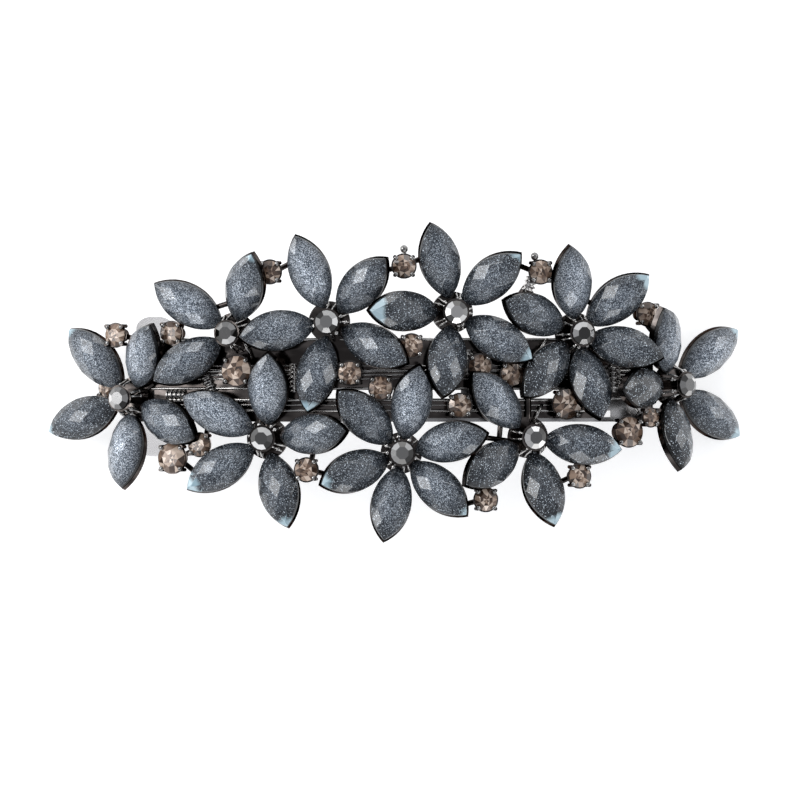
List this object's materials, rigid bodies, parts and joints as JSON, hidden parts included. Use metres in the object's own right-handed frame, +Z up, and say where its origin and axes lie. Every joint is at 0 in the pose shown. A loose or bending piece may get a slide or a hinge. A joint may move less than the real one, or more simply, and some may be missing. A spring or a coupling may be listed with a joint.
{
  "type": "hair clip",
  "caption": "arched spring barrette whose cast setting carries flowers of faceted glitter stones with dark round centres and champagne accents",
  "frame": {"origin": "centre of the whole clip's outline, on the surface that it rests on", "axes": "+X along the clip from its latch to its hinge, +Y across it, +Z up to the stones"},
  "size_m": [0.1046, 0.0478, 0.0251],
  "materials": {
    "glitter_stone": "clear glossy faceted resin over fine blue-grey glitter",
    "dark_stone": "polished dark cut glass with a metallic coat",
    "champagne_stone": "champagne cut glass with a foiled back",
    "gunmetal": "polished black nickel plate on cast metal",
    "nickel": "plain nickel plate on spring steel"
  },
  "bodies": {
    "root": {"accent_stones": "champagne_stone", "centre_stones": "dark_stone", "clip_plate": "nickel", "hinge_pin": "nickel", "latch": "nickel", "petal_a1": "glitter_stone", "petal_a2": "glitter_stone", "petal_a3": "glitter_stone", "petal_a4": "glitter_stone", "petal_a5": "glitter_stone", "petal_b1": "glitter_stone", "petal_b2": "glitter_stone", "petal_b3": "glitter_stone", "petal_c1": "glitter_stone", "petal_c2": "glitter_stone", "petal_c3": "glitter_stone", "petal_c4": "glitter_stone", "petal_c5": "glitter_stone", "petal_d1": "glitter_stone", "petal_d2": "glitter_stone", "petal_d3": "glitter_stone", "petal_d4": "glitter_stone", "petal_d5": "glitter_stone", "petal_e1": "glitter_stone", "petal_e2": "glitter_stone", "petal_e3": "glitter_stone", "petal_e4": "glitter_stone", "petal_e5": "glitter_stone", "petal_e6": "glitter_stone", "petal_f1": "glitter_stone", "petal_f2": "glitter_stone", "petal_f3": "glitter_stone", "petal_f4": "glitter_stone", "petal_f5": "glitter_stone", "petal_g1": "glitter_stone", "petal_g2": "glitter_stone", "petal_g3": "glitter_stone", "petal_g4": "glitter_stone", "petal_g5": "glitter_stone", "petal_h1": "glitter_stone", "petal_h2": "glitter_stone", "petal_h3": "glitter_stone", "petal_h4": "glitter_stone", "petal_h5": "glitter_stone", "petal_h6": "glitter_stone", "petal_i1": "glitter_stone", "petal_i2": "glitter_stone", "petal_i3": "glitter_stone", "petal_i4": "glitter_stone", "setting": "gunmetal", "tension_bow": "nickel"},
    "arm": {"arm": "nickel"}
  },
  "joints": [
    {"name": "arm_hinge", "type": "hinge", "parent": "root", "child": "arm", "pos_m": [0.0366, -0.0005, 0.0026], "axis": [0, -1, 0], "range_deg": [0, 72]}
  ]
}
